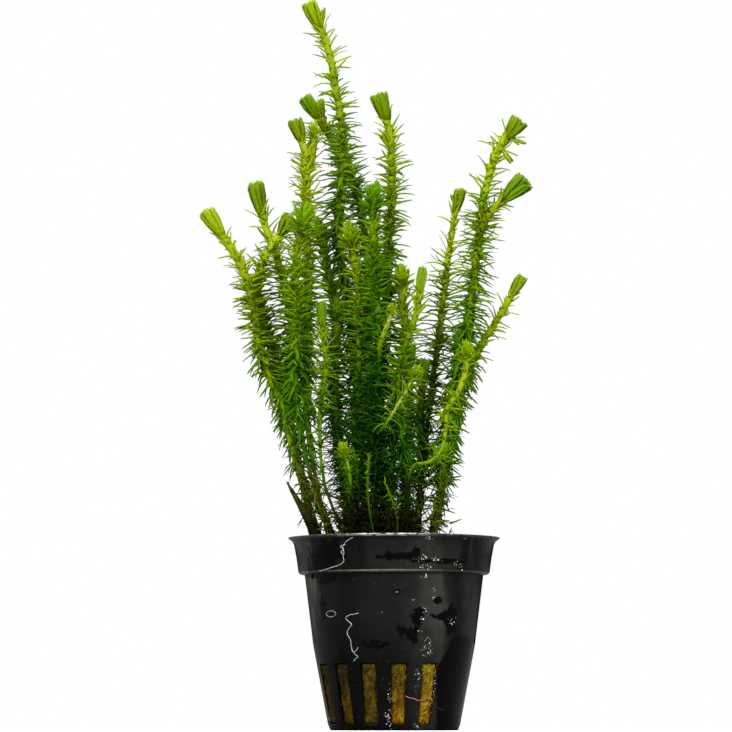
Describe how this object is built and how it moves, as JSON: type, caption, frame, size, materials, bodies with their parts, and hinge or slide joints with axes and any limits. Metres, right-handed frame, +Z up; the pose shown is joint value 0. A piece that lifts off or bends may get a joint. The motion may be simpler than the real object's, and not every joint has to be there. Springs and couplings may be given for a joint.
{
  "type": "potted stream bogmoss",
  "caption": "Leafy water plant with slender bristly stems and brush-like tips, rooted in mineral wool in a small round slotted pot.",
  "frame": {"origin": "centre of the pot's underside", "axes": "+Z up along the pot's axis and the plant's height; -Y is the side that the picture shows; +X is to the right there"},
  "size_m": [0.0841, 0.053, 0.1838],
  "materials": {
    "pot_plastic": "thin black moulded plastic, wet and glossy, with dried water streaks",
    "mineral_wool": "matted mustard-brown mineral fibres, damp",
    "leaf": "thin soft living leaf, satin, bright yellow-green at the tips and dark green lower down",
    "old_stem": "old bare stem, olive brown, satin"
  },
  "bodies": {
    "root": {"pot": "pot_plastic", "mineral_wool_plug": "mineral_wool", "shoot_tallest": "leaf", "shoot_high_left": "leaf", "shoot_high_left_fork": "leaf", "shoot_left_column": "leaf", "shoot_left_column_fork": "leaf", "shoot_right_column": "leaf", "shoot_middle_column": "leaf", "shoot_middle_fork": "leaf", "shoot_front_middle_fork": "leaf", "shoot_far_left": "leaf", "shoot_left_club": "leaf", "shoot_left_bow": "leaf", "shoot_left_inner": "leaf", "shoot_front_left": "leaf", "shoot_olive": "leaf", "shoot_back_left": "leaf", "shoot_middle_bright": "leaf", "shoot_centre_right": "leaf", "shoot_gap": "leaf", "shoot_gap_right": "leaf", "shoot_high_right": "leaf", "shoot_high_right_fork": "leaf", "shoot_right_inner": "leaf", "shoot_far_right": "leaf", "shoot_front_right": "leaf", "shoot_low_right": "leaf", "shoot_small_bright": "leaf", "shoot_small_beside": "leaf", "shoot_bare_middle": "leaf", "shoot_bare_right": "leaf", "old_stem": "old_stem", "shoot_back_middle": "leaf", "shoot_back_right": "leaf"}
  },
  "joints": []
}
